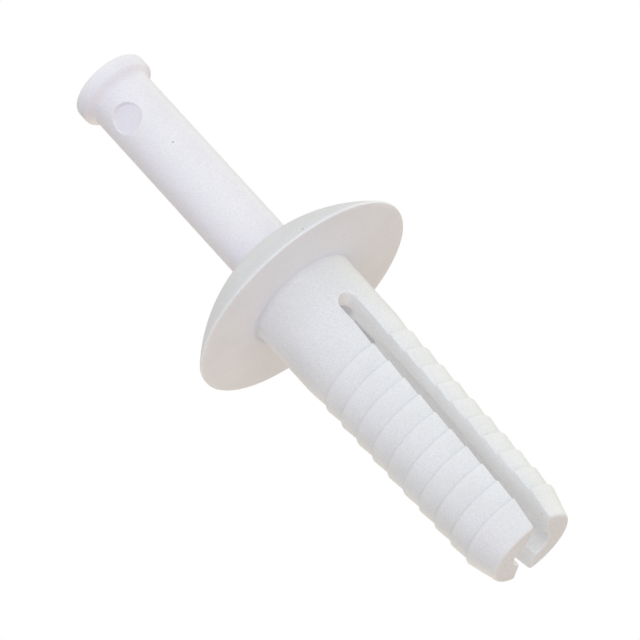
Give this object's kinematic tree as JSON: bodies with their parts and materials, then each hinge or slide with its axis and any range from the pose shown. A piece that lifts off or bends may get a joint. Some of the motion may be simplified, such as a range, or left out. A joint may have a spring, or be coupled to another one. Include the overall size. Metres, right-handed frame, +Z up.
{
  "type": "wall anchor",
  "caption": "Nail-in wall anchor with a round domed flange, a split barbed body whose legs spread apart, and a headed drive pin.",
  "frame": {"origin": "centre of the flange's flat bearing face, on the anchor's axis, where it meets the wall or panel", "axes": "+Y along the axis into the wall, towards the legs' tips; +Z up, in the plane of the slot; +X towards the right leg"},
  "size_m": [0.014, 0.0367, 0.014],
  "materials": {
    "anchor_nylon": "matte natural white nylon",
    "pin_nylon": "satin cool white nylon"
  },
  "bodies": {
    "anchor_body": {"flange_collar": "anchor_nylon"},
    "right_leg_body": {"right_leg": "anchor_nylon"},
    "left_leg_body": {"left_leg": "anchor_nylon"},
    "pin": {"drive_pin": "pin_nylon"}
  },
  "joints": [
    {"name": "pin_drive", "type": "slide", "parent": "anchor_body", "child": "pin", "axis": [0, 1, 0], "range_m": [0, 0.0134]},
    {"name": "right_leg_spread", "type": "hinge", "parent": "anchor_body", "child": "right_leg_body", "pos_m": [0.00255, 0.00312, 0], "axis": [0, 0, 1], "range_deg": [-3, 0]},
    {"name": "left_leg_spread", "type": "hinge", "parent": "anchor_body", "child": "left_leg_body", "pos_m": [-0.00255, 0.00312, 0], "axis": [0, 0, 1], "range_deg": [0, 3]}
  ],
  "couplings": [
    {"joint": "right_leg_spread", "follows": "pin_drive", "rad_per_m": -3.9},
    {"joint": "left_leg_spread", "follows": "pin_drive", "rad_per_m": 3.9}
  ]
}
